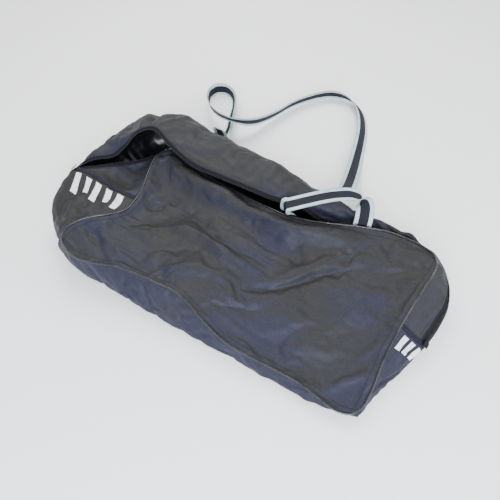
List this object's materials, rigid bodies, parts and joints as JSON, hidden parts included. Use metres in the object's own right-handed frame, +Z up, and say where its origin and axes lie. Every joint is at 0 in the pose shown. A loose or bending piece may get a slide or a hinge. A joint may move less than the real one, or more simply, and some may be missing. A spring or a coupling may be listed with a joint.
{
  "type": "hockey carry bag",
  "caption": "Long soft carry bag for skates and ice hockey kit, slumped on its back panel, with a zipped top, piped panels and webbing carry handles.",
  "frame": {"origin": "on the floor, on the underside of the back panel, below its middle", "axes": "+X along the bag, +Y from the bottom gusset to the zipped top, +Z up, away from the panel the bag lies on"},
  "size_m": [1.1761, 1.1735, 0.2162],
  "materials": {
    "polyester": "coated woven polyester, black with a navy sheen",
    "piping": "glossy black",
    "webbing": "twill webbing, dark with pale edges",
    "zip_tape": "black woven tape",
    "zip_plastic": "black moulded",
    "zip_metal": "dark nickel"
  },
  "bodies": {
    "bag": {"front_panel": "polyester", "back_panel": "polyester", "left_end_panel": "polyester", "bottom_panel": "polyester", "right_end_panel": "polyester", "zip_panel_front": "polyester", "zip_panel_back_1": "polyester", "zip_panel_back_2": "polyester", "zip_panel_back_3": "polyester", "zip_panel_back_4": "polyester", "front_piping": "piping", "back_piping": "piping", "zip_tape_front": "zip_tape", "zip_tape_back": "zip_tape", "zip_teeth_front": "zip_plastic", "zip_teeth_back": "zip_plastic", "zip_end_left": "webbing", "zip_end_right": "webbing", "front_handle_anchor_left": "webbing", "front_handle_anchor_right": "webbing", "back_handle_anchor_left": "webbing", "back_handle_anchor_right": "webbing"},
    "zip_slider": {"zip_slider": "zip_metal", "slider_bridge": "zip_metal"},
    "zip_pull": {"zip_pull": "zip_metal"},
    "front_handle": {"front_handle": "webbing"},
    "back_handle": {"back_handle": "webbing"}
  },
  "joints": [
    {"name": "zip_slide", "type": "slide", "parent": "bag", "child": "zip_slider", "axis": [0.9915, 0.1106, 0.0686], "range_m": [0, 0.2]},
    {"name": "pull_hinge", "type": "hinge", "parent": "zip_slider", "child": "zip_pull", "pos_m": [0.14479, 0.23656, 0.08068], "axis": [0.1237, -0.9645, -0.2335], "range_deg": [0, 150]},
    {"name": "front_handle_swing", "type": "hinge", "parent": "bag", "child": "front_handle", "pos_m": [0.04, 0.189, 0.15], "axis": [0.9366, 0.3415, -0.0781], "range_deg": [-20, 60]},
    {"name": "back_handle_swing", "type": "hinge", "parent": "bag", "child": "back_handle", "pos_m": [-0.338, 0.405, 0.098], "axis": [0.9914, -0.1301, 0.0136], "range_deg": [0, 110]}
  ]
}
